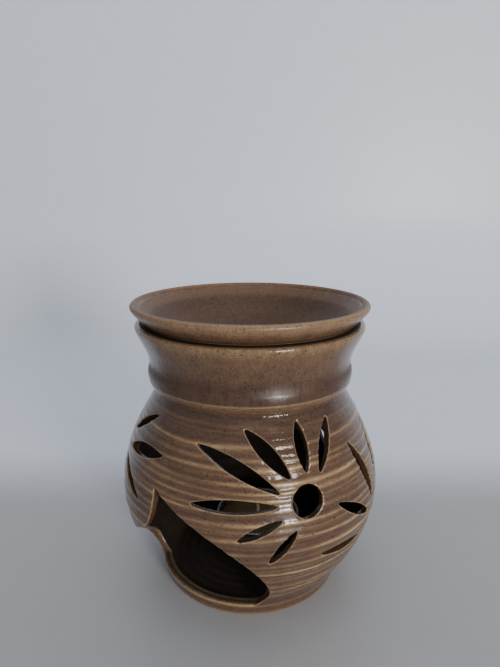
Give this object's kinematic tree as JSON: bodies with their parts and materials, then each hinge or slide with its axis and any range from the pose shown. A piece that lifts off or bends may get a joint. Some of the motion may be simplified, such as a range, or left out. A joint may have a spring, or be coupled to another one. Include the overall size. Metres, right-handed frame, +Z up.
{
  "type": "essential oil burner",
  "caption": "Round-bellied stoneware oil burner with pierced flowers, a flared neck, a loose dish for water and oil on its rim, and a leaf-shaped candle doorway at the foot.",
  "frame": {"origin": "centre of the foot, on the surface that the burner stands on", "axes": "+Z up along the pot's axis; -Y is the front, towards the viewer of the picture, and the doorway opens to the front left"},
  "size_m": [0.1098, 0.1098, 0.1203],
  "materials": {
    "pot_glaze": "glossy brown stoneware glaze, breaking tan on the throwing rings",
    "dish_glaze": "glossy speckled brown stoneware glaze",
    "foil": "bright pressed foil",
    "wax": "white paraffin wax",
    "tab_steel": "thin pressed sheet",
    "wick_cotton": "waxed braided cotton"
  },
  "bodies": {
    "pot": {"pot_body": "pot_glaze"},
    "dish": {"oil_dish": "dish_glaze"},
    "tealight": {"tealight_cup": "foil", "tealight_wax": "wax", "wick_tab": "tab_steel", "wick": "wick_cotton"}
  },
  "joints": [
    {"name": "dish_lift", "type": "slide", "parent": "pot", "child": "dish", "axis": [0, 0, 1], "range_m": [0, 0.04]},
    {"name": "tealight_draw", "type": "slide", "parent": "pot", "child": "tealight", "axis": [-0.6123, -0.7837, 0.1045], "range_m": [0, 0.1]}
  ]
}
